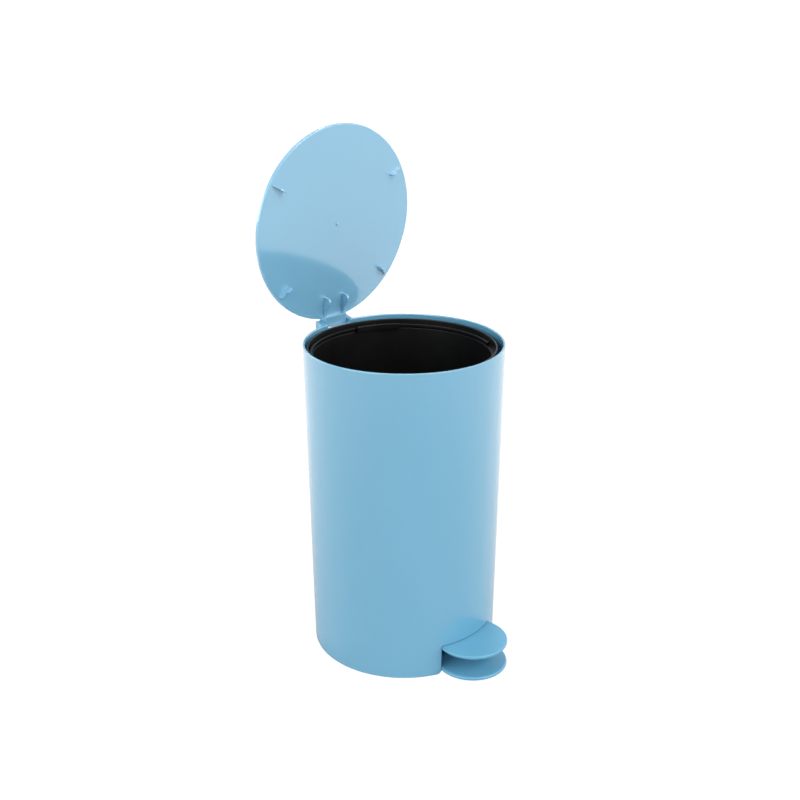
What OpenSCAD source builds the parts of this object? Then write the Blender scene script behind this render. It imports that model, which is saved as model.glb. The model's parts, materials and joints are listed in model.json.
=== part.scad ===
// Small round pedal bin with a flat hinged lid, a loose inner bucket with a bail
// handle, and a foot pedal that lifts the lid through a push strip at the back.
// Millimetres, +Z up. The origin is the centre of the flat underside, the pedal
// points along -Y and the lid hinge is at +Y. The lid is drawn open.

/* [Outer body] */
// Height of the outer body, floor to rim
body_h = 270.5; // [262:0.5:280]
// Outer radius at the rim
rim_r = 83; // [82.8:0.1:83.2]
// Outer radius at the floor
base_r = 79.3; // [79:0.1:79.6]
// Wall thickness of the outer body
body_wall = 1.8; // [1.6:0.1:2]

/* [Lid] */
// Outer radius of the lid
lid_r = 83.6; // [83.2:0.1:83.8]
// Thickness of the flat lid
lid_t = 3.7; // [3.4:0.1:4.2]
// Angle that the lid is drawn at, 0 being closed
lid_open_deg = 84.6; // [0:0.1:88]
// Distance of the hinge axis behind the centre line
pivot_y = 86.8; // [86.7:0.05:87]
// Depth of the hinge axis below the rim
pivot_drop = 1.3; // [1.2:0.1:1.4]
// Radius of the two hinge pins
hinge_pin_r = 1.3; // [1.2:0.05:1.4]

/* [Pedal] */
// Radius of the round front of the pedal plate and of the foot plate
plate_r = 30; // [29.4:0.1:30.4]
// Distance of the centre of that round front from the centre line
plate_y = 81.8; // [81:0.1:82.4]
// Thickness of the pedal plate and of the foot plate
plate_t = 3.2; // [3:0.1:3.4]
// Height of the top of the pedal plate
pedal_top = 26.6; // [26:0.1:27]
// Height of the underside of the foot plate
foot_under = 3.1; // [2.6:0.1:3.2]
// Distance of the pedal axle behind the centre line
axle_y = 45; // [43:0.5:47]
// Height of the pedal axle
axle_z = 15; // [14.5:0.1:15.5]
// Radius of the pedal axle
axle_r = 2; // [1.8:0.1:2.2]

/* [Bucket] */
// Outer radius of the bucket's rim
bucket_rim_r = 78.5; // [78:0.1:78.8]
// Depth of the bucket's rim below the rim of the body
bucket_drop = 3.1; // [3:0.1:3.6]
// Height of the step inside the rim, rim top to ledge
bucket_step = 7.4; // [7.2:0.1:7.8]
// Turn of the loose bucket about the vertical, bail middle away from the hinge
bucket_turn = -27; // [-180:1:180]
// Shift of the loose bucket off the centre line, along X
bucket_x = -1.1; // [-1.2:0.1:1.2]
// Shift of the loose bucket off the centre line, along Y
bucket_y = 1.1; // [-1.2:0.1:1.2]

/* [Hidden] */
$fn = 96;

blue = "#8fc1dd";
light_blue = "#a3cbe3";
black = "#1b1c1e";
steel = "#b9bdc1";
white = "#e6e8e8";

// small overlap that joins two shapes of one piece, and running clearance of a pin
eps = 0.05;
run = 0.05;

pivot_z = body_h - pivot_drop;

// hinge: half widths along X
tongue_half = 12.1;
cheek_in = 12.5;
cheek_out = 17;
cheek_top = pivot_z + 2.8;
cheek_back = 91.8;
cheek_corner = 1.1;
cheek_drop = 25;
cheek_root = 80.3;
cheek_fillet = 6;
pin_in = 7.2;
pin_out = 16.8;
knuckle_r = 3.4;
heel_drop = 2;
heel_r = 6.4;

// rear channel that the push strip runs in
strip_half = 8;
strip_tip_half = 6;
strip_neck = 240;
strip_rise = 4.2;
strip_front = 82.8;
strip_t = 1.5;
strip_foot = 19;
strip_gap = 0.3;
shoe_foot = axle_z + 1.8;
chan_half = 9;
chan_wall = 1.6;
chan_back = 88;
chan_low = 4;
chan_top = 262;
strip_play = 0.6;
strip_top = pivot_z - heel_drop - strip_play;
notch_floor = strip_top + 0.2;
groove_y = strip_front - strip_gap;

// pedal opening in the wall
open_half = 28.8;
open_top = pedal_top + 0.5;
open_round = 3.6;
plate_half = open_half - 0.5;
plate_edge = 1.4;
plate_back = -75.2;

lid_gusset_angles = [42.2, 137.8, 210.8, 329.2];

// lever behind the pedal plate
lever_half = 11;
lever_wall = 2.4;
lever_front = -68;
lever_bend = -60;
lever_rear = 62;
lever_h = 7.4;
finger_top = axle_z + 3.2;
finger_tip = axle_z + 1.5;

// base
base_t = 3.5;
base_disc_r = 75.6;
screw_ring = 71.5;
screw_angles = [35, 145, 215, 325];
screw_r = 1.25;
pillar_angles = [60, 120, 240, 300];
stand_r = 6;
stand_in = 14;
stand_out = 18;
clip_t = 1;
axle_half = stand_out + 0.6 + clip_t + 1;
seat_z = 32;
seat_r = 70.6;
pillar_in = 57;
pillar_out = seat_r + 2.8;
pillar_wide = 10;

// bucket
bucket_wall = 1.5;
bucket_low = 34.1;
bucket_foot_r = 66.4;
bucket_neck_r = 74.95;
bucket_top = body_h - bucket_drop;
ledge_z = bucket_top - bucket_step;
ring_t = 1.7;
bail_z = ledge_z + 2;
bail_r = 73.6;
bail_w = 2.3;
bail_half = 1.35;
trunnion_r = 1.2;
grip_deg = 31;

// closed lid: underside and top, and the depths of its ribs below the underside
lid_low = body_h + 0.4;
lid_top = lid_low + lid_t;
rib_deep = 5.9;
rib_shallow = 3.1;
gusset_t = 1.3;
lid_round = 1.1;

// Extrudes a Y-Z outline along X, from x0 to x1
module along_x(x0, x1) {
  translate([x0, 0, 0])
    rotate([90, 0, 90])
      linear_extrude(x1 - x0) children();
}

// Cylinder along X
module rod_x(r, x0, x1, y, z) {
  translate([x0, y, z])
    rotate([0, 90, 0])
      cylinder(r = r, h = x1 - x0);
}

// ---- outer body ----

module shell_outline() {
  lip = body_wall / 2;
  polygon([
    [base_r - body_wall, 0], [base_r, 0],
    [rim_r, body_h - lip], [rim_r - body_wall, body_h - lip]
  ]);
  translate([rim_r - lip, body_h - lip]) circle(r = lip);
}

// Outline of the pedal opening seen from the front, its lower corners flared
module opening_outline() {
  translate([-open_half, -1]) square([2 * open_half, open_top + 1]);
  for (side = [-1, 1])
    translate([side * open_half, 0])
      mirror([side < 0 ? 1 : 0, 0])
        difference() {
          translate([-eps, -1]) square([open_round + eps, open_round + 1]);
          translate([open_round, open_round]) circle(r = open_round);
        }
}

// Outline of one hinge cheek: its top climbs from the rim to a rounded rear corner, and
// a long gusset carries it on the wall
module cheek_outline() {
  corner_y = cheek_back - cheek_corner;
  corner_z = cheek_top - cheek_corner;
  polygon([
    [cheek_root, body_h - cheek_drop], [cheek_root, body_h - 0.4],
    [rim_r - 0.4, body_h - 0.3], [corner_y - 1, cheek_top], [corner_y, cheek_top],
    [corner_y, corner_z], [cheek_back, corner_z], [cheek_back, pivot_z - 4.5]
  ]);
  translate([corner_y, corner_z]) circle(r = cheek_corner);
}

// Hollow corner, seen from above, where the cheek on the +X side runs into the round wall
module cheek_flare_plan() {
  centre_x = cheek_out + cheek_fillet;
  centre_y = sqrt(pow(rim_r - 0.4 + cheek_fillet, 2) - pow(centre_x, 2));
  touch = (rim_r - 0.4) / (rim_r - 0.4 + cheek_fillet);
  difference() {
    polygon([
      [cheek_out - eps, cheek_root - 1], [cheek_out - eps, centre_y],
      [cheek_out, centre_y], [centre_x, centre_y],
      [centre_x * touch, centre_y * touch], [centre_x * touch, cheek_root - 3]
    ]);
    translate([centre_x, centre_y]) circle(r = cheek_fillet);
    circle(r = rim_r - 1.2);
  }
}

module cheek_flare() {
  intersection() {
    translate([0, 0, body_h - cheek_drop - 1])
      linear_extrude(cheek_drop + 0.6) cheek_flare_plan();
    along_x(cheek_out - 1, cheek_out + cheek_fillet + 1) cheek_outline();
  }
}

module channel_walls() {
  difference() {
    translate([-chan_half - chan_wall, 70, chan_low])
      cube([2 * (chan_half + chan_wall), chan_back - 70, chan_top - chan_low]);
    translate([-chan_half, 60, chan_low - 1])
      cube([2 * chan_half, 40, chan_top - chan_low + 2]);
    cylinder(r1 = base_r - body_wall / 2, r2 = rim_r - body_wall / 2, h = body_h);
  }
}

module screw_boss(a) {
  rotate([0, 0, a]) {
    translate([screw_ring, 0, base_t + 0.1]) cylinder(r = 3.6, h = 16);
    translate([screw_ring, -1.2, base_t + 0.1]) cube([6.6, 2.4, 16]);
  }
}

module outer_body() {
  color(blue)
    difference() {
      union() {
        rotate_extrude() shell_outline();
        channel_walls();
        along_x(cheek_in, cheek_out) cheek_outline();
        along_x(-cheek_out, -cheek_in) cheek_outline();
        cheek_flare();
        mirror([1, 0, 0]) cheek_flare();
        for (a = screw_angles) screw_boss(a);
      }
      // pedal opening
      translate([0, -60, 0])
        rotate([90, 0, 0]) linear_extrude(30) opening_outline();
      // notch in the rim between the cheeks, where the lid's heel turns
      translate([-cheek_in, cheek_root - 3, notch_floor])
        cube([2 * cheek_in, 6, body_h]);
      // slot for the pedal's rear finger, which rests near its lower edge
      translate([-7.5, 70, axle_z - 2.8]) cube([15, 12.5, 14]);
      // shallow groove in the wall for the push strip, narrower above its neck
      translate([-strip_half - 0.6, groove_y, 200])
        cube([2 * (strip_half + 0.6), 4, strip_neck + strip_rise + 1 - 200]);
      translate([-strip_tip_half - 0.6, groove_y, 200])
        cube([2 * (strip_tip_half + 0.6), 4, body_h]);
      rod_x(hinge_pin_r + 0.01, -20, 20, pivot_y, pivot_z);
      for (a = screw_angles)
        rotate([0, 0, a])
          translate([screw_ring, 0, 0]) cylinder(r = screw_r + 0.01, h = base_t + 11);
    }
}

module rear_cover() {
  color(blue)
    union() {
      translate([-chan_half - chan_wall, chan_back, chan_low])
        cube([2 * (chan_half + chan_wall), 1.6, chan_top - chan_low]);
      // two ribs that locate the cover between the channel walls
      for (x = [0.3 - chan_half, chan_half - 1.5])
        translate([x, chan_back - 1.8, 90])
          cube([1.2, 1.8 + eps, 102]);
    }
}

// ---- base ----

// Plate shared by the pedal and the base: round outside the wall with a rounded edge,
// then narrower where it passes through the opening, back to y_in
module round_plate(z, y_in) {
  intersection() {
    translate([0, -plate_y, z])
      rotate_extrude() {
        square([plate_r - plate_edge, plate_t]);
        translate([0, plate_edge]) square([plate_r, plate_t - 2 * plate_edge]);
        for (edge_z = [plate_edge, plate_t - plate_edge])
          translate([plate_r - plate_edge, edge_z]) circle(r = plate_edge);
      }
    translate([-plate_r - 1, plate_back - 60, z - 1])
      cube([2 * plate_r + 2, 60, plate_t + 2]);
  }
  translate([-plate_half, -plate_y, z])
    cube([2 * plate_half, plate_y + y_in, plate_t]);
}

// Curved pillar that carries the tray, with a stop outside it
module seat_pillar(a) {
  stop_in = seat_r + 0.6;
  top = seat_z - 0.3;
  rotate([0, 0, a - pillar_wide / 2])
    rotate_extrude(angle = pillar_wide)
      polygon([
        [pillar_in, 1], [pillar_out, 1], [pillar_out, seat_z + 4], [stop_in, seat_z + 4],
        [stop_in, top], [pillar_in, top]
      ]);
}

// Side outline of one of the two stands that hold the pedal axle
module axle_stand_outline() {
  translate([axle_y, axle_z]) circle(r = stand_r);
  translate([axle_y - stand_r, 1]) square([2 * stand_r, axle_z - 1]);
}

module base_plate() {
  color(blue)
    difference() {
      union() {
        cylinder(r = base_disc_r, h = base_t);
        round_plate(foot_under, -62);
        for (a = pillar_angles) seat_pillar(a);
        along_x(stand_in, stand_out) axle_stand_outline();
        along_x(-stand_out, -stand_in) axle_stand_outline();
      }
      rod_x(axle_r + run, -20, 20, axle_y, axle_z);
      for (a = screw_angles)
        rotate([0, 0, a])
          translate([screw_ring, 0, 0]) {
            translate([0, 0, -1]) cylinder(r = 1.6, h = base_t + 2);
            translate([0, 0, -1]) cylinder(r = 3.1, h = 2.7);
          }
    }
}

// Self-tapping screw that holds the base to the body
module base_screw(i) {
  color(steel)
    rotate([0, 0, screw_angles[i]])
      translate([screw_ring, 0, 0])
        difference() {
          union() {
            translate([0, 0, 0.3]) cylinder(r = 2.8, h = 1.3);
            translate([0, 0, 0.4]) cylinder(r = screw_r, h = 12.5);
          }
          // cross recess
          for (t = [0, 90])
            rotate([0, 0, t]) translate([-1.6, -0.35, 0]) cube([3.2, 0.7, 1]);
        }
}

// ---- lid ----

// Radial outline of the lid: a flat disc with rounded edges
module lid_outline() {
  translate([0, lid_low]) square([lid_r - lid_round, lid_t]);
  translate([0, lid_low + lid_round]) square([lid_r, lid_t - 2 * lid_round]);
  for (z = [lid_low + lid_round, lid_top - lid_round])
    translate([lid_r - lid_round, z]) circle(r = lid_round);
}

// Gusset that guides the closing lid into the mouth: deepest inside the bucket, and
// shallow over the bucket's rim
module lid_gusset(a) {
  rotate([0, 0, a])
    translate([0, gusset_t / 2, 0])
      rotate([90, 0, 0])
        linear_extrude(gusset_t)
          polygon([
            [68.4, lid_low + eps], [68.4, lid_low - rib_deep + 1.1],
            [69.5, lid_low - rib_deep], [73, lid_low - rib_deep],
            [74, lid_low - rib_shallow], [78.6, lid_low - rib_shallow],
            [80.8, lid_low - 0.5], [80.8, lid_low + eps]
          ]);
}

// Outline of a hinge rib under the lid: a deep lobe inside the bucket's bail, less over
// the bail's grip, and shallow over the bucket's rim
module rib_outline() {
  front = 62.9;
  lobe_r = 3.2;
  lobe_deep = rib_deep + 1.6;
  translate([front, lid_low + lobe_r - lobe_deep]) square([10.1, lobe_deep - lobe_r + eps]);
  translate([front + lobe_r, lid_low + lobe_r - lobe_deep]) circle(r = lobe_r);
  translate([front + lobe_r, lid_low - lobe_deep]) square([2.5, lobe_r]);
  translate([front + lobe_r + 2.5, lid_low + 1.6 - lobe_deep]) circle(r = 1.6);
  translate([front + lobe_r, lid_low - rib_deep]) square([6.1, rib_deep]);
  translate([front + lobe_r + 6.1, lid_low + 1.1 - rib_deep]) circle(r = 1.1);
  translate([front, lid_low - rib_shallow]) square([14.1, rib_shallow + eps]);
  translate([front + 14.1, lid_low]) circle(r = rib_shallow);
}

// Outline of the hinge tongue: from the lid's edge back to a knuckle about the axis. In
// front of the axis the heel is larger, and turns in the notch of the rim. It is flat
// underneath, where the push strip lifts it.
module tongue_outline() {
  heel_z = pivot_z - heel_drop;
  polygon([
    [81, lid_low + 0.5], [81, lid_top], [84.2, lid_top],
    [pivot_y + 2.6, pivot_z + 2.19], [pivot_y, pivot_z]
  ]);
  difference() {
    translate([pivot_y, pivot_z]) circle(r = knuckle_r);
    translate([pivot_y - knuckle_r - 1, heel_z - knuckle_r])
      square([2 * knuckle_r + 2, knuckle_r]);
  }
  intersection() {
    translate([pivot_y, pivot_z]) circle(r = heel_r);
    polygon([
      [pivot_y - heel_r - 1, heel_z], [pivot_y, heel_z], [pivot_y, pivot_z + 1],
      [84.2, lid_low + 1], [pivot_y - heel_r - 1, lid_low + 1]
    ]);
  }
}

module closed_lid() {
  difference() {
    union() {
      rotate_extrude() lid_outline();
      for (a = lid_gusset_angles) lid_gusset(a);
      for (x = [-11.2, 9.2]) along_x(x, x + 2) rib_outline();
      translate([0, 0, lid_low - 0.7]) cylinder(r = 1.3, h = 1);
      along_x(-tongue_half, tongue_half) tongue_outline();
    }
    rod_x(hinge_pin_r + run, pin_in - 0.3, 20, pivot_y, pivot_z);
    rod_x(hinge_pin_r + run, -20, -pin_in + 0.3, pivot_y, pivot_z);
  }
}

module lid() {
  color(light_blue)
    translate([0, pivot_y, pivot_z])
      rotate([-lid_open_deg, 0, 0])
        translate([0, -pivot_y, -pivot_z]) closed_lid();
}

// Plastic pin pushed in from the outside of a cheek, its end flush with the cheek
module hinge_pin() {
  color(light_blue) rod_x(hinge_pin_r, pin_in, pin_out, pivot_y, pivot_z);
}

// ---- pedal ----

// Side outline of the lever, from the plate back to the finger, lowered by drop
module lever_outline(drop) {
  polygon([
    [lever_front, pedal_top - drop], [lever_bend, pedal_top - drop],
    [axle_y, axle_z + 5 - drop], [lever_rear, finger_top - drop],
    [lever_rear, axle_z - 4], [axle_y, axle_z - 4.6],
    [lever_bend, pedal_top - lever_h], [lever_front, pedal_top - lever_h]
  ]);
}

// Space inside the lever that is open below
module lever_hollow_outline() {
  polygon([
    [lever_front, pedal_top - lever_h - 2], [lever_front, pedal_top - 5],
    [lever_bend, pedal_top - 5], [axle_y - 6, axle_z], [lever_rear - 2, axle_z],
    [lever_rear - 2, axle_z - 6], [lever_bend, pedal_top - lever_h - 2]
  ]);
}

// Side outline of the finger that carries the foot of the push strip
module finger_outline() {
  polygon([
    [lever_rear - 2, axle_z - 4], [lever_rear - 2, finger_top], [66, axle_z + 2.6],
    [80, finger_tip], [85, finger_tip], [85, axle_z - 2.2]
  ]);
}

module pedal() {
  color(blue)
    difference() {
      union() {
        round_plate(pedal_top - plate_t, -64);
        difference() {
          along_x(-lever_half, lever_half) lever_outline(0);
          along_x(-lever_half + lever_wall, lever_half - lever_wall) {
            translate([0, -0.01]) lever_outline(2);
            lever_hollow_outline();
          }
        }
        rod_x(5, -13.2, 13.2, axle_y, axle_z);
        along_x(-5.5, 5.5) finger_outline();
      }
      rod_x(axle_r + run, -20, 20, axle_y, axle_z);
    }
}

module pedal_axle() {
  color(steel) rod_x(axle_r, -axle_half, axle_half, axle_y, axle_z);
}

// Spring clip pushed on one end of the axle
module axle_clip(x) {
  color(steel)
    difference() {
      rod_x(4.2, x, x + clip_t, axle_y, axle_z);
      rod_x(axle_r + 0.01, x - 1, x + clip_t + 1, axle_y, axle_z);
    }
}

module push_strip() {
  color(steel)
    union() {
      translate([-strip_half, strip_front, strip_foot])
        cube([2 * strip_half, strip_t, strip_neck - strip_foot]);
      translate([-strip_tip_half, strip_front, strip_foot])
        cube([2 * strip_tip_half, strip_t, strip_top - strip_foot]);
    }
}

// Plastic shoe on the lower end of the strip, rounded where the pedal's finger lifts it
module strip_shoe() {
  color(white)
    difference() {
      along_x(-strip_half - 0.5, strip_half + 0.5) {
        translate([strip_front + strip_t / 2, shoe_foot + 1.9]) circle(r = 1.9);
        translate([strip_front + strip_t / 2 - 1.9, shoe_foot + 1.9]) square([3.8, 6.5]);
      }
      translate([-strip_half - 0.01, strip_front - 0.01, strip_foot - 0.01])
        cube([2 * strip_half + 0.02, strip_t + 0.02, 20]);
    }
}

// Block in the rear channel that keeps the strip upright, its slot from slot_y back
module strip_guide(z, front_y, slot_y) {
  guide_h = 10;
  color(white)
    difference() {
      translate([-chan_half, front_y, z])
        cube([2 * chan_half, chan_back - front_y, guide_h]);
      translate([-strip_half - strip_gap, slot_y, z - 1])
        cube([2 * (strip_half + strip_gap),
              strip_front + strip_t + strip_gap - slot_y, guide_h + 2]);
    }
}

// ---- bucket ----

// Loose round tray that the bucket stands in
module bucket_seat() {
  color(black)
    rotate_extrude()
      polygon([
        [0, seat_z], [seat_r, seat_z], [seat_r, seat_z + 4.2],
        [seat_r - 1.6, seat_z + 4.2], [seat_r - 1.6, seat_z + 1.8], [0, seat_z + 1.8]
      ]);
}

module place_bucket() {
  translate([bucket_x, bucket_y, 0]) rotate([0, 0, bucket_turn]) children();
}

// Radial outline of the bucket: floor, tapered wall, ledge and upright rim
module bucket_outline() {
  lip = ring_t / 2;
  foot_in = bucket_foot_r - bucket_wall;
  neck_in = bucket_neck_r - bucket_wall;
  rim_in = bucket_rim_r - ring_t;
  floor_top = bucket_low + bucket_wall;
  polygon([
    [0, bucket_low], [bucket_foot_r - 0.9, bucket_low], [bucket_foot_r, bucket_low + 0.9],
    [bucket_neck_r, ledge_z - bucket_wall], [bucket_rim_r, ledge_z - bucket_wall],
    [bucket_rim_r, bucket_top - lip], [rim_in, bucket_top - lip],
    [rim_in, ledge_z], [neck_in, ledge_z],
    [foot_in, floor_top + 0.6], [foot_in - 0.6, floor_top], [0, floor_top]
  ]);
  translate([bucket_rim_r - lip, bucket_top - lip]) circle(r = lip);
}

module inner_bucket() {
  color(black)
    place_bucket()
      difference() {
        union() {
          rotate_extrude() bucket_outline();
          // upright rib inside the rim, behind the middle of the bail
          translate([-0.5, bucket_rim_r - ring_t - 0.4, ledge_z - 0.5])
            cube([1, 0.9, bucket_step - 0.6]);
        }
        rod_x(trunnion_r + run, -90, 90, 0, bail_z);
      }
}

module bail_handle() {
  color(black)
    place_bucket()
      union() {
        rotate_extrude(angle = 180)
          translate([bail_r, bail_z - bail_half]) square([bail_w, 2 * bail_half]);
        // thicker finger grip in the middle, inside the bucket's wall
        rotate([0, 0, 90 - grip_deg / 2])
          rotate_extrude(angle = grip_deg) {
            translate([70.9, bail_z - 2.6]) square([2.2, 5.2]);
            translate([72, bail_z - bail_half]) square([4.1, 2 * bail_half]);
          }
        for (side = [-1, 1])
          mirror([side < 0 ? 1 : 0, 0, 0]) {
            rod_x(1.7, bail_r, 76.4, 0, bail_z);
            rod_x(trunnion_r, 76, bucket_rim_r - 0.3, 0, bail_z);
          }
      }
}

outer_body();
rear_cover();
base_plate();
base_screw(0);  // base_screw_1
base_screw(1);  // base_screw_2
base_screw(2);  // base_screw_3
base_screw(3);  // base_screw_4
lid();
mirror([1, 0, 0]) hinge_pin();  // hinge_pin_left
hinge_pin();  // hinge_pin_right
pedal();
pedal_axle();
axle_clip(-stand_out - 0.6 - clip_t);  // axle_clip_left
axle_clip(stand_out + 0.6);  // axle_clip_right
push_strip();
strip_shoe();
strip_guide(210, 82.62, 82);  // strip_guide_upper
strip_guide(70, 80.9, strip_front - strip_gap);  // strip_guide_lower
bucket_seat();
inner_bucket();
bail_handle();
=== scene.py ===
# %% [markdown]
# # A small round pedal bin
#
# The bin is made of injection-moulded polypropylene: a pastel blue outer body with a
# flat hinged lid and a foot pedal, and a loose black bucket with a bail handle inside.
# Its solids come ready from the CAD model, in metres, with the origin in the middle of
# the underside, the pedal towards -Y and the hinge at +Y. This lesson gives them
# rounded edges, the small details of a moulding, and finishes that work in any light.

# %% Load the frame
import json
import math

import bmesh
import bpy
from mathutils import Matrix, Vector
from mathutils.bvhtree import BVHTree

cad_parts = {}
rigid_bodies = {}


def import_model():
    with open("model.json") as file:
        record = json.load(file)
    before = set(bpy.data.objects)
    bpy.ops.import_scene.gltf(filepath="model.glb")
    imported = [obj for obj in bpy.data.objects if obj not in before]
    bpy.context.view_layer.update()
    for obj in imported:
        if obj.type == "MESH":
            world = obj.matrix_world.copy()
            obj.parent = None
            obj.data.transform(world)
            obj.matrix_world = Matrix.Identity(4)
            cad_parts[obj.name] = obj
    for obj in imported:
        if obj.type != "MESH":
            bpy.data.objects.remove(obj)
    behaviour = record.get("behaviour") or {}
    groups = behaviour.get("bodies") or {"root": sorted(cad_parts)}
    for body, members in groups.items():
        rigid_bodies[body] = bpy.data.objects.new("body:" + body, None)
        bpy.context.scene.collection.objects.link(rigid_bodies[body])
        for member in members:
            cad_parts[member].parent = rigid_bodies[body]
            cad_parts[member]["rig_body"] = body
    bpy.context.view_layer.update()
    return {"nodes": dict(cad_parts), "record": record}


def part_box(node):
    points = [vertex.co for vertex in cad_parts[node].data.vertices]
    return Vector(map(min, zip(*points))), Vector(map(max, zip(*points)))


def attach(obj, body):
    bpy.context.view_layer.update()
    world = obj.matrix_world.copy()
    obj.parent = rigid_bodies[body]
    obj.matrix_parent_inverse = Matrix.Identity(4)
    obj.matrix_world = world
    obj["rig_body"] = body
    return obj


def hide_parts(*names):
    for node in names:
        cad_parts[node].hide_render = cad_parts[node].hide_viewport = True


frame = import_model()
nodes = frame["nodes"]
scene = bpy.context.scene
scene.view_settings.view_transform = "Standard"

# %% [markdown]
# ## The camera
#
# A bin this small is looked down on, so the camera stands a little above the rim. A
# moderately long lens keeps the sides nearly upright while the mouth still shows. The
# camera could be turned with angles by hand; aiming it at a point with `to_track_quat`
# is easier to change, because only the place and the target are written down.

# %% Camera
camera_data = bpy.data.cameras.new("camera")
camera_data.sensor_width = 36.0
camera_data.lens = 50.27
camera_data.shift_x = -0.00505
camera = bpy.data.objects.new("camera", camera_data)
scene.collection.objects.link(camera)
camera.location = Vector((-0.6145, -0.6232, 0.5444))
aim = Vector((0.0, 0.0, 0.2191)) - camera.location
camera.rotation_euler = aim.to_track_quat("-Z", "Y").to_euler()
scene.camera = camera
print("camera", round(aim.length, 3), "m from its target")

# %% [markdown]
# ## The light
#
# Glossy plastic shows its surroundings, so much of the light comes from a white surround
# on all sides, as in a light tent. The surround is split by ray type: what the camera and
# the reflections see is plain white, while the light that falls on the bin is lower, so
# that a colour comes out about as it is written.

# %% World
def mix_by_rays(tree, rays, inner, outer):
    """Shader that is `outer` for the named kinds of ray and `inner` for the rest."""
    path = tree.nodes.new("ShaderNodeLightPath")
    chooser = tree.nodes.new("ShaderNodeMixShader")
    factor = None
    for name, share in rays:
        scaled = tree.nodes.new("ShaderNodeMath")
        scaled.operation = "MULTIPLY"
        tree.links.new(path.outputs[name], scaled.inputs[0])
        if isinstance(share, float):
            scaled.inputs[1].default_value = share
        else:
            tree.links.new(share, scaled.inputs[1])
        if factor is None:
            factor = scaled.outputs[0]
        else:
            largest = tree.nodes.new("ShaderNodeMath")
            largest.operation = "MAXIMUM"
            tree.links.new(factor, largest.inputs[0])
            tree.links.new(scaled.outputs[0], largest.inputs[1])
            factor = largest.outputs[0]
    tree.links.new(factor, chooser.inputs[0])
    tree.links.new(inner, chooser.inputs[1])
    tree.links.new(outer, chooser.inputs[2])
    return chooser.outputs[0]


def background(tree, strength):
    node = tree.nodes.new("ShaderNodeBackground")
    node.inputs["Color"].default_value = (1, 1, 1, 1)
    node.inputs["Strength"].default_value = strength
    return node.outputs[0]


tent_fill = 0.48
tent_white = 1.0
tent = bpy.data.worlds.new("light_tent")
scene.world = tent
tent.use_nodes = True
tent.node_tree.nodes.clear()
tent_out = tent.node_tree.nodes.new("ShaderNodeOutputWorld")
seen_rays = [("Is Camera Ray", 1.0), ("Is Glossy Ray", 1.0), ("Is Transmission Ray", 1.0)]
tent_light = mix_by_rays(
    tent.node_tree,
    seen_rays,
    background(tent.node_tree, tent_fill),
    background(tent.node_tree, tent_white),
)
tent.node_tree.links.new(tent_light, tent_out.inputs[0])
print("light tent: fill", tent_fill, "white", tent_white)

# %% [markdown]
# ## The suns
#
# Suns give the light a direction. They could be area lamps, but suns light the floor
# evenly to its edge, and their angle sets how soft they are. Two wide ones from the left
# and the front model the round body. A higher one reaches under the pedal. Two small
# ones from above draw the bright line on the rim's round lip, and two low ones behind
# the sides lighten the edges of the silhouette.

# %% Suns
def sun(name, towards, strength, wide):
    data = bpy.data.lights.new(name, "SUN")
    data.energy = strength
    data.angle = math.radians(wide)
    lamp = bpy.data.objects.new(name, data)
    lamp.rotation_euler = Vector(towards).to_track_quat("-Z", "Y").to_euler()
    scene.collection.objects.link(lamp)


sun("left_sun", (0.95, -0.05, -0.35), 1.5, 50)
sun("front_sun", (-0.35, 0.9, -0.22), 1.35, 60)
sun("high_front_sun", (-0.1, 0.7, -0.7), 0.9, 25)
sun("ceiling_sun", (0.1, 0.1, -1), 0.2, 12)
sun("back_sun", (-0.4, -0.4, -0.82), 0.45, 12)
sun("left_edge_sun", (0.36, -0.93, -0.1), 1.1, 40)
sun("right_edge_sun", (-0.99, 0.12, -0.1), 0.55, 40)
print(len(bpy.data.lights), "suns")

# %% [markdown]
# ## The floor
#
# The bin stands on a white sweep. A plain white floor turns grey wherever the light is
# less than full, so part of what the camera sees of it is a white glow: the floor then
# stays white to the horizon and still keeps the soft shadow where the bin stands. The
# light that bounces from it onto the bin isn't changed, because the glow shows only to
# the camera and to reflections. Reflections see it further out, so that the body is
# reflected in white at its sides and stays a fuller blue low down in front.

# %% Floor
floor_size = 80
floor_grey = 0.6
glow_strength = 1.2
glow_for_camera = 0.8
glow_near = 0.25
glow_far = 0.85
glow_centre = (-0.22, -0.22, 0)


def distance_share(tree, near, far):
    """0 within the distance `near` of the glow's centre, 1 beyond `far`."""
    coordinates = tree.nodes.new("ShaderNodeTexCoord")
    mapping = tree.nodes.new("ShaderNodeMapping")
    mapping.inputs["Location"].default_value = [-c for c in glow_centre]
    tree.links.new(coordinates.outputs["Object"], mapping.inputs["Vector"])
    length = tree.nodes.new("ShaderNodeVectorMath")
    length.operation = "LENGTH"
    tree.links.new(mapping.outputs[0], length.inputs[0])
    share = tree.nodes.new("ShaderNodeMapRange")
    share.inputs["From Min"].default_value = near
    share.inputs["From Max"].default_value = far
    tree.links.new(length.outputs["Value"], share.inputs["Value"])
    return share.outputs[0]


def floor_white():
    material = bpy.data.materials.new("floor_white")
    material.use_nodes = True
    tree = material.node_tree
    tree.nodes.clear()
    out = tree.nodes.new("ShaderNodeOutputMaterial")
    paper = tree.nodes.new("ShaderNodeBsdfDiffuse")
    paper.inputs["Color"].default_value = (floor_grey, floor_grey, floor_grey, 1)
    shine = tree.nodes.new("ShaderNodeEmission")
    shine.inputs["Strength"].default_value = glow_strength
    rays = [
        ("Is Camera Ray", glow_for_camera),
        ("Is Glossy Ray", distance_share(tree, glow_near, glow_far)),
    ]
    mixed = mix_by_rays(tree, rays, paper.outputs[0], shine.outputs[0])
    tree.links.new(mixed, out.inputs[0])
    return material


bpy.ops.mesh.primitive_plane_add(size=floor_size)
floor = bpy.context.object
floor.name = "floor"
floor.data.materials.append(floor_white())
print("floor", floor_size, "m wide")

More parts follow.
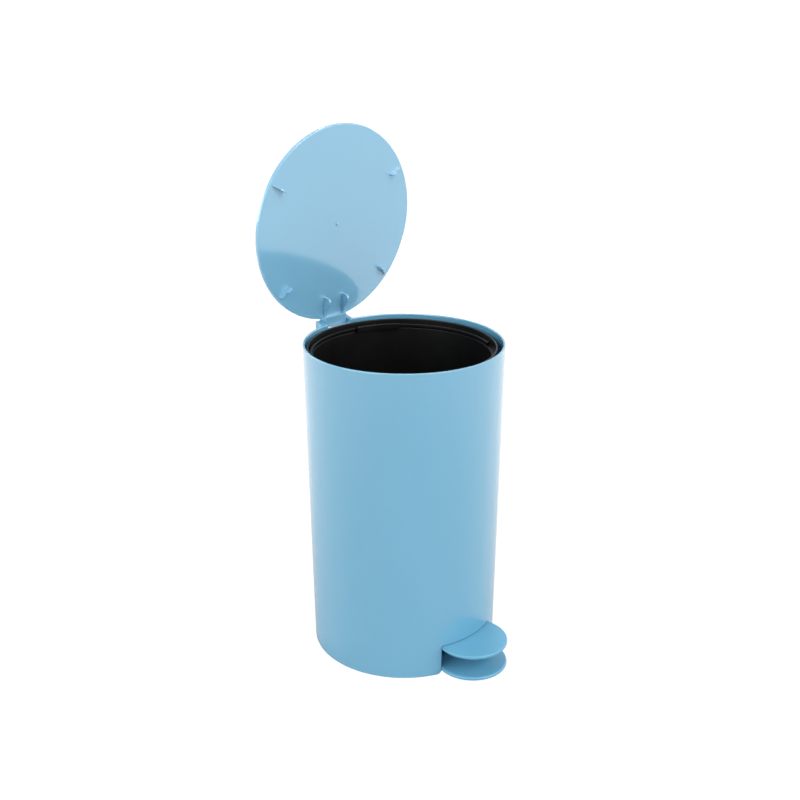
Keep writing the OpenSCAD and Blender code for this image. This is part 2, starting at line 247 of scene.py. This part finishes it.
# %% [markdown]
# ## Rounded edges
#
# A moulded part has no knife edges: the tool leaves a radius of a few tenths of a
# millimetre, and that narrow band is what catches the light. The CAD solids have sharp
# corners, and their meshes come as loose triangles. So a copy of the mesh is merged,
# its flat areas are joined to whole faces, and a bevel rounds each edge that turns by
# more than a given angle. Where short edges meet, a bevel can throw a point out of the
# surface, so each point that strays further than a bevel may go is put back on the
# nearest face. Weighted normals then keep the flat faces flat in the shading. The copy
# takes the place of the node, and rides on the node's own body.

# %% Rounding helper
merge_distance = 2e-6
flat_within = math.radians(0.4)
rounded_from = math.radians(35)
stray_limit = 0.45


def merged_copy(node_name):
    """bmesh of a CAD node with its triangles joined into whole faces."""
    mesh = bmesh.new()
    mesh.from_mesh(nodes[node_name].data)
    bmesh.ops.remove_doubles(mesh, verts=mesh.verts, dist=merge_distance)
    bmesh.ops.dissolve_degenerate(mesh, edges=mesh.edges, dist=merge_distance / 2)
    bmesh.ops.dissolve_limit(
        mesh, angle_limit=flat_within, verts=mesh.verts, edges=mesh.edges
    )
    return mesh


def finish_piece(mesh, name, body, smooth_deg=50):
    """Makes the bmesh a smooth-shaded object on a body of the frame."""
    data = bpy.data.meshes.new(name)
    mesh.to_mesh(data)
    mesh.free()
    data.polygons.foreach_set("use_smooth", [True] * len(data.polygons))
    data.set_sharp_from_angle(angle=math.radians(smooth_deg))
    piece = bpy.data.objects.new(name, data)
    scene.collection.objects.link(piece)
    weighted = piece.modifiers.new("even_shading", "WEIGHTED_NORMAL")
    weighted.keep_sharp = True
    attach(piece, body)
    return piece


def rounded(node_name, width):
    """Copy of a CAD node with edges rounded to a width, in place of the node."""
    mesh = merged_copy(node_name)
    surface = BVHTree.FromBMesh(mesh)
    edges = [e for e in mesh.edges if e.is_manifold and e.calc_face_angle() > rounded_from]
    bmesh.ops.bevel(
        mesh,
        geom=edges,
        offset=width,
        offset_type="OFFSET",
        segments=2,
        profile=0.5,
        affect="EDGES",
        material=-1,
    )
    strays = 0
    for vert in mesh.verts:
        nearest, _, _, distance = surface.find_nearest(vert.co)
        if distance > stray_limit * width:
            vert.co = nearest
            strays += 1
    bmesh.ops.remove_doubles(mesh, verts=mesh.verts, dist=merge_distance)
    print(node_name, len(edges), "edges rounded,", strays, "strays,", len(mesh.faces), "faces")
    piece = finish_piece(mesh, node_name + "_moulded", nodes[node_name]["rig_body"])
    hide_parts(node_name)
    return piece


# %% [markdown]
# ## The mouldings
#
# Each visible moulding is rounded with the radius that its tool would have. The thin
# parts get less, because a bevel may not be wider than half of the wall it runs on.

# %% Rounded mouldings
edge_widths = {
    "outer_body": 0.00025,
    "lid": 0.0002,
    "base_plate": 0.0003,
    "pedal": 0.0003,
    "rear_cover": 0.0004,
    "bucket_seat": 0.0003,
}
pieces = {part: rounded(part, width) for part, width in edge_widths.items()}

# %% [markdown]
# ## Turned and swept shapes
#
# The bucket and its bail are both round about an upright axis, and `spin` makes such
# shapes. For the bucket an outline is drawn as a chain of points in the X-Z plane, a
# vertex bevel rounds its corners, and a full spin closes it; `use_merge` joins the seam.
# For the bail a small rounded rectangle is spun through part of a turn, and its two ends
# stay closed by faces.

# %% Spin helpers
def turned(mesh, outline, steps):
    """Spins an outline of (radius, height, corner radius) points once about Z."""
    verts = [mesh.verts.new((radius, 0, height)) for radius, height, _ in outline]
    for first, second in zip(verts, verts[1:]):
        mesh.edges.new((first, second))
    for vert, (_, _, corner) in zip(verts, outline):
        if corner:
            bmesh.ops.bevel(
                mesh,
                geom=[vert],
                offset=corner,
                offset_type="OFFSET",
                segments=4,
                profile=0.5,
                affect="VERTICES",
                material=-1,
            )
    bmesh.ops.spin(
        mesh,
        geom=list(mesh.verts) + list(mesh.edges),
        axis=(0, 0, 1),
        cent=(0, 0, 0),
        angle=math.tau,
        steps=steps,
        use_merge=True,
    )
    bmesh.ops.remove_doubles(mesh, verts=mesh.verts, dist=1e-6)
    bmesh.ops.recalc_face_normals(mesh, faces=mesh.faces)


def swept_bar(mesh, inner, outer, half_height, corner, start, sweep, steps):
    """Adds a bar with a rounded section, spun about Z between two angles, ends closed."""
    made = bmesh.ops.create_grid(mesh, x_segments=1, y_segments=1, size=0.5)
    verts = made["verts"]
    bmesh.ops.scale(mesh, vec=(outer - inner, 2 * half_height, 1), verts=verts)
    bmesh.ops.rotate(mesh, matrix=Matrix.Rotation(math.pi / 2, 3, "X"), verts=verts)
    bmesh.ops.translate(mesh, vec=((inner + outer) / 2, 0, 0), verts=verts)
    section = bmesh.ops.bevel(
        mesh,
        geom=verts,
        offset=corner,
        offset_type="OFFSET",
        segments=4,
        profile=0.5,
        affect="VERTICES",
        material=-1,
    )
    face = section["verts"][0].link_faces[0]
    bmesh.ops.rotate(mesh, matrix=Matrix.Rotation(start, 3, "Z"), verts=face.verts)
    bmesh.ops.spin(
        mesh,
        geom=[face] + list(face.edges) + list(face.verts),
        axis=(0, 0, 1),
        cent=(0, 0, 0),
        angle=sweep,
        steps=steps,
        use_merge=False,
    )


def pin_along_x(mesh, radius, x_from, x_to, edge):
    """Adds a round pin along X with its outer edges bevelled."""
    made = bmesh.ops.create_cone(
        mesh,
        cap_ends=True,
        segments=24,
        radius1=radius,
        radius2=radius,
        depth=abs(x_to - x_from),
        matrix=Matrix.Translation(((x_from + x_to) / 2, 0, 0))
        @ Matrix.Rotation(math.pi / 2, 4, "Y"),
    )
    rims = {e for v in made["verts"] for e in v.link_edges if e.calc_face_angle(0) > 1}
    bmesh.ops.bevel(
        mesh,
        geom=list(rims),
        offset=edge,
        offset_type="OFFSET",
        segments=2,
        profile=0.5,
        affect="EDGES",
        material=-1,
    )

# %% [markdown]
# ## The bucket
#
# The real bucket is a thin moulded cup: a tapered wall, a ledge that the liner bag hangs
# over, and an upright rim with a round lip. It could be cut from the CAD mesh, but the
# small bevels on its many facets leave marks where the wall meets the pin holes, so it is
# turned anew, as smooth as a lathe would make it. Its middle and its rim come from the
# box of the CAD node.

# %% Bucket
bucket_turn = math.radians(-27)
bucket_low, bucket_high = (Vector(corner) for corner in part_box("inner_bucket"))
bucket_centre = Vector(
    ((bucket_low.x + bucket_high.x) / 2, (bucket_low.y + bucket_high.y) / 2, 0)
)
rim_radius = (bucket_high.x - bucket_low.x) / 2
wall = 0.0015
rim_wall = 0.0017
rim_height = 0.0074
neck_radius = rim_radius - 0.00355
foot_radius = rim_radius - 0.0121
ledge = bucket_high.z - rim_height
floor_top = bucket_low.z + wall
lip = rim_wall / 2 - 0.00001
bucket_steps = 144
bucket = bmesh.new()
turned(
    bucket,
    [
        (0, bucket_low.z, 0),
        (foot_radius, bucket_low.z, 0.0009),
        (neck_radius, ledge - wall, 0.0004),
        (rim_radius, ledge - wall, 0.0004),
        (rim_radius, bucket_high.z, lip),
        (rim_radius - rim_wall, bucket_high.z, lip),
        (rim_radius - rim_wall, ledge, 0.0004),
        (neck_radius - wall, ledge, 0.0005),
        (foot_radius - wall, floor_top, 0.0008),
        (0, floor_top, 0),
    ],
    bucket_steps,
)

# %% [markdown]
# ## The rib on the bucket's rim
#
# One short upright rib inside the back of the rim shows where the mould parts. It could
# be cut into the turned wall, but a bar that sinks into the wall looks the same and
# leaves the wall smooth. It is swept in a mesh of its own and then added to the
# bucket's, which is turned and moved to the place where it stands.

# %% Bucket rib
rib_turn = math.radians(0.37)
rib_from = math.pi / 2 - rib_turn
rib_half = 0.0034
rib_inner = rim_radius - rim_wall - 0.0004
rib_outer = rib_inner + 0.0009
rib_corner = 0.0002
rib_sunk = 0.0005
rib = bmesh.new()
swept_bar(rib, rib_inner, rib_outer, rib_half, rib_corner, rib_from, 2 * rib_turn, 2)
bmesh.ops.recalc_face_normals(rib, faces=rib.faces)
bmesh.ops.translate(rib, vec=(0, 0, ledge + rib_half - rib_sunk), verts=rib.verts)
rib_data = bpy.data.meshes.new("rib")
rib.to_mesh(rib_data)
rib.free()
bucket.from_mesh(rib_data)
bmesh.ops.rotate(bucket, matrix=Matrix.Rotation(bucket_turn, 3, "Z"), verts=bucket.verts)
bmesh.ops.translate(bucket, vec=bucket_centre, verts=bucket.verts)
print("bucket", len(bucket.faces), "faces, rim radius", round(rim_radius, 4))
pieces["inner_bucket"] = finish_piece(bucket, "bucket_turned", "bucket")
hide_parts("inner_bucket")

# %% [markdown]
# ## The bail
#
# The bucket's handle is a moulded half ring with a wider finger grip in the middle and a
# pin at each end that snaps into the bucket's wall. A half ring is a section swept about
# an axis, which is what `spin` does: a rectangle with rounded corners is spun through
# half a turn, and a larger one through the few degrees of the grip, with a bridge that
# joins the two. The bucket stands turned and a little off centre, so the finished shape
# is turned and moved with it.

# %% Bail
bail_level = 0.262
bail_inner, bail_outer, bail_half = 0.0736, 0.0759, 0.00135
bridge_inner, bridge_outer = 0.0720, 0.0761
grip_inner, grip_outer, grip_half = 0.0709, 0.0731, 0.0026
grip_turn = math.radians(15.5)
grip_from = math.pi / 2 - grip_turn
bail_corner, grip_corner, pin_edge = 0.0005, 0.0006, 0.0002
hub_radius, hub_from, hub_to = 0.0017, 0.0738, 0.0764
pin_radius, pin_from, pin_to = 0.0012, 0.0762, 0.0782
bail = bmesh.new()
swept_bar(bail, bail_inner, bail_outer, bail_half, bail_corner, 0, math.pi, 120)
swept_bar(bail, grip_inner, grip_outer, grip_half, grip_corner, grip_from, 2 * grip_turn, 28)
swept_bar(bail, bridge_inner, bridge_outer, bail_half, bail_corner, grip_from, 2 * grip_turn, 28)
for side in (-1, 1):
    pin_along_x(bail, hub_radius, side * hub_from, side * hub_to, pin_edge)
    pin_along_x(bail, pin_radius, side * pin_from, side * pin_to, pin_edge)
bmesh.ops.recalc_face_normals(bail, faces=bail.faces)
bmesh.ops.rotate(bail, matrix=Matrix.Rotation(bucket_turn, 3, "Z"), verts=bail.verts)
bmesh.ops.translate(bail, vec=bucket_centre + Vector((0, 0, bail_level)), verts=bail.verts)
print("bail", len(bail.faces), "faces")
pieces["bail_handle"] = finish_piece(bail, "bail_with_grip", "bail", 40)
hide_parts("bail_handle")

# %% [markdown]
# ## The gate mark
#
# Plastic enters the lid's mould in the middle of its underside and leaves a small round
# nub there. It could be a cylinder, but the real one is a soft dome that shows a light
# and a dark side. So an icosphere is cut in half by `bisect_plane`, flattened a little
# and set where the lid's face is: first in the closed place, above the bin's axis, then
# turned about the hinge by the angle that the lid stands open.

# %% Gate mark
hinge = next(j for j in frame["record"]["behaviour"]["joints"] if j["name"] == "lid_hinge")
pivot = Vector(hinge["pos_m"])
lid_open = -math.radians(hinge["range_deg"][0])
closed_face = 0.2709
mark_radius = 0.0015
mark_sunk = 0.0001
mark_flattened = 0.9
mark = bmesh.new()
bmesh.ops.create_icosphere(mark, subdivisions=3, radius=mark_radius)
bmesh.ops.bisect_plane(
    mark,
    geom=list(mark.verts) + list(mark.edges) + list(mark.faces),
    plane_co=(0, 0, mark_sunk),
    plane_no=(0, 0, 1),
    clear_outer=True,
)
bmesh.ops.holes_fill(mark, edges=[e for e in mark.edges if e.is_boundary])
bmesh.ops.scale(mark, vec=(1, 1, mark_flattened), verts=mark.verts)
bmesh.ops.translate(mark, vec=(0, 0, closed_face), verts=mark.verts)
bmesh.ops.rotate(
    mark,
    cent=pivot,
    matrix=Matrix.Rotation(lid_open, 3, Vector(hinge["axis"])),
    verts=mark.verts,
)
bmesh.ops.recalc_face_normals(mark, faces=mark.faces)
print("gate mark", len(mark.faces), "faces")
gate_mark = finish_piece(mark, "lid_gate_mark", "lid")

# %% [markdown]
# ## Satin polypropylene
#
# Polypropylene that is coloured through has a soft sheen rather than a hard gloss. Up
# close it has the fine orange peel of the mould's surface and a slight unevenness of
# tone. Both come from noise on Object coordinates: a coarse noise shifts the colour by
# a percent or two, a finer one varies the roughness, and a very fine one drives a bump.
# The pale plastics also let a little light through, which softens the thin ribs; two
# millimetres of subsurface scattering do that. The lid's underside comes from a polished
# mould, so its coat is the clearest, and the black bucket is duller than the rest. The
# Mix node has a row of sockets for each kind of value; those for colours have the
# numbers 6, 7 and 2.

# %% Plastic
def srgb(red, green, blue):
    """Linear colour of an sRGB colour given in 0 to 255."""

    def linear(c):
        c /= 255
        return c / 12.92 if c <= 0.04045 else ((c + 0.055) / 1.055) ** 2.4

    return (linear(red), linear(green), linear(blue), 1.0)


def noise(tree, place, scale, detail=2.0, rough=0.5):
    node = tree.nodes.new("ShaderNodeTexNoise")
    node.inputs["Scale"].default_value = scale
    node.inputs["Detail"].default_value = detail
    node.inputs["Roughness"].default_value = rough
    tree.links.new(place, node.inputs["Vector"])
    return node.outputs["Fac"]


def ramp(tree, value, low, high):
    node = tree.nodes.new("ShaderNodeMapRange")
    node.inputs["From Min"].default_value = 0.3
    node.inputs["From Max"].default_value = 0.7
    node.inputs["To Min"].default_value = low
    node.inputs["To Max"].default_value = high
    tree.links.new(value, node.inputs["Value"])
    return node.outputs[0]


colour_a, colour_b, colour_mixed = 6, 7, 2
tone_shift = 0.015
peel_height = 0.000004


def moulded_plastic(name, colour, gloss, specular=0.5, ior=1.5, coat=0.0, glow=0.0):
    """Coloured-through plastic: uneven tone, varied sheen and orange peel."""
    material = bpy.data.materials.new(name)
    material.use_nodes = True
    tree = material.node_tree
    shader = tree.nodes["Principled BSDF"]
    shader.inputs["Specular IOR Level"].default_value = specular
    shader.inputs["IOR"].default_value = ior
    shader.inputs["Coat Weight"].default_value = coat
    shader.inputs["Coat Roughness"].default_value = 0.06
    shader.inputs["Subsurface Weight"].default_value = glow
    shader.inputs["Subsurface Radius"].default_value = (0.5, 0.9, 1.0)
    shader.inputs["Subsurface Scale"].default_value = 0.002
    coordinates = tree.nodes.new("ShaderNodeTexCoord")
    mapping = tree.nodes.new("ShaderNodeMapping")
    tree.links.new(coordinates.outputs["Object"], mapping.inputs["Vector"])
    place = mapping.outputs[0]

    tone = tree.nodes.new("ShaderNodeMix")
    tone.data_type = "RGBA"
    tone.inputs[colour_a].default_value = [c * (1 - tone_shift) for c in colour[:3]] + [1]
    tone.inputs[colour_b].default_value = [c * (1 + tone_shift) for c in colour[:3]] + [1]
    tree.links.new(noise(tree, place, 22, 3), tone.inputs[0])
    tree.links.new(tone.outputs[colour_mixed], shader.inputs["Base Color"])

    tree.links.new(
        ramp(tree, noise(tree, place, 90, 2), gloss[0], gloss[1]), shader.inputs["Roughness"]
    )
    bump = tree.nodes.new("ShaderNodeBump")
    bump.inputs["Strength"].default_value = 0.5
    bump.inputs["Distance"].default_value = peel_height
    tree.links.new(noise(tree, place, 1400, 2), bump.inputs["Height"])
    tree.links.new(bump.outputs[0], shader.inputs["Normal"])
    return material


blue = srgb(102, 168, 199)
# The lid's blue is paler than the shell's. Part of that is the lid's own paler tone, and part is
# painted light: the colour is made lighter still, so the open lid looks more brightly lit than
# its lamps make it.
lid_blue_with_painted_light = srgb(127, 185, 215)
black = srgb(12, 12, 12)
natural = srgb(226, 226, 220)
finishes = {
    "shell": moulded_plastic("blue_shell", blue, (0.25, 0.27), 1.0, 1.55, 0.65, 0.3),
    "lid": moulded_plastic("blue_lid", lid_blue_with_painted_light, (0.10, 0.15), 0.65, 1.6, 1.0, 0.3),
    "pedal": moulded_plastic("blue_pedal", blue, (0.30, 0.34), glow=0.3),
    "bucket": moulded_plastic("black_bucket", black, (0.36, 0.42), 0.25),
    "guide": moulded_plastic("natural_guide", natural, (0.35, 0.5)),
}
print("finishes", sorted(finishes))

# %% [markdown]
# ## Plated steel
#
# The strip, the axle, its clips and the screws are zinc-plated steel: a grey metal with
# a slightly cloudy sheen. A metallic shader takes its look from roughness, so noise
# varies it in patches. The strip is rolled, so its pattern is stretched along its length.

# %% Steel
dull_spots = 0.86


def plated_steel(name, colour, gloss, stretch=(1, 1, 1)):
    material = bpy.data.materials.new(name)
    material.use_nodes = True
    tree = material.node_tree
    shader = tree.nodes["Principled BSDF"]
    shader.inputs["Metallic"].default_value = 1.0
    coordinates = tree.nodes.new("ShaderNodeTexCoord")
    mapping = tree.nodes.new("ShaderNodeMapping")
    mapping.inputs["Scale"].default_value = stretch
    tree.links.new(coordinates.outputs["Object"], mapping.inputs["Vector"])
    place = mapping.outputs[0]
    tone = tree.nodes.new("ShaderNodeMix")
    tone.data_type = "RGBA"
    tone.inputs[colour_a].default_value = [c * dull_spots for c in colour[:3]] + [1]
    tone.inputs[colour_b].default_value = colour
    tree.links.new(noise(tree, place, 180, 4), tone.inputs[0])
    tree.links.new(tone.outputs[colour_mixed], shader.inputs["Base Color"])
    tree.links.new(
        ramp(tree, noise(tree, place, 420, 3), gloss[0], gloss[1]), shader.inputs["Roughness"]
    )
    bump = tree.nodes.new("ShaderNodeBump")
    bump.inputs["Strength"].default_value = 0.4
    bump.inputs["Distance"].default_value = 0.00001
    tree.links.new(noise(tree, place, 900, 3), bump.inputs["Height"])
    tree.links.new(bump.outputs[0], shader.inputs["Normal"])
    return material


finishes["steel"] = plated_steel("plated_steel", srgb(196, 198, 200), (0.22, 0.36))
finishes["strip"] = plated_steel("rolled_strip", srgb(186, 188, 190), (0.28, 0.42), (1, 1, 0.05))

# %% [markdown]
# ## Putting the finishes on
#
# Each piece takes the finish of its material slot in the model's record, so one table
# serves the CAD nodes and the copies that stand for them. The base plate, with the
# lower foot plate, is as matt as the pedal, so it takes the pedal's finish.

# %% Assign
slot_finish = {
    "shell_plastic": "shell",
    "lid_plastic": "lid",
    "pedal_plastic": "pedal",
    "bucket_plastic": "bucket",
    "bail_plastic": "bucket",
    "plated_steel": "steel",
    "galvanised_strip": "strip",
    "guide_plastic": "guide",
}
slot_of = {s["node"]: s["material_slot"] for s in frame["record"]["subparts"]}
for name, node in nodes.items():
    finish = finishes[slot_finish[slot_of[name]]]
    if name == "base_plate":
        finish = finishes["pedal"]
    shown = pieces.get(name, node)
    shown.data.materials.clear()
    shown.data.materials.append(finish)
gate_mark.data.materials.append(finishes["lid"])
print("finished", len(nodes), "nodes")
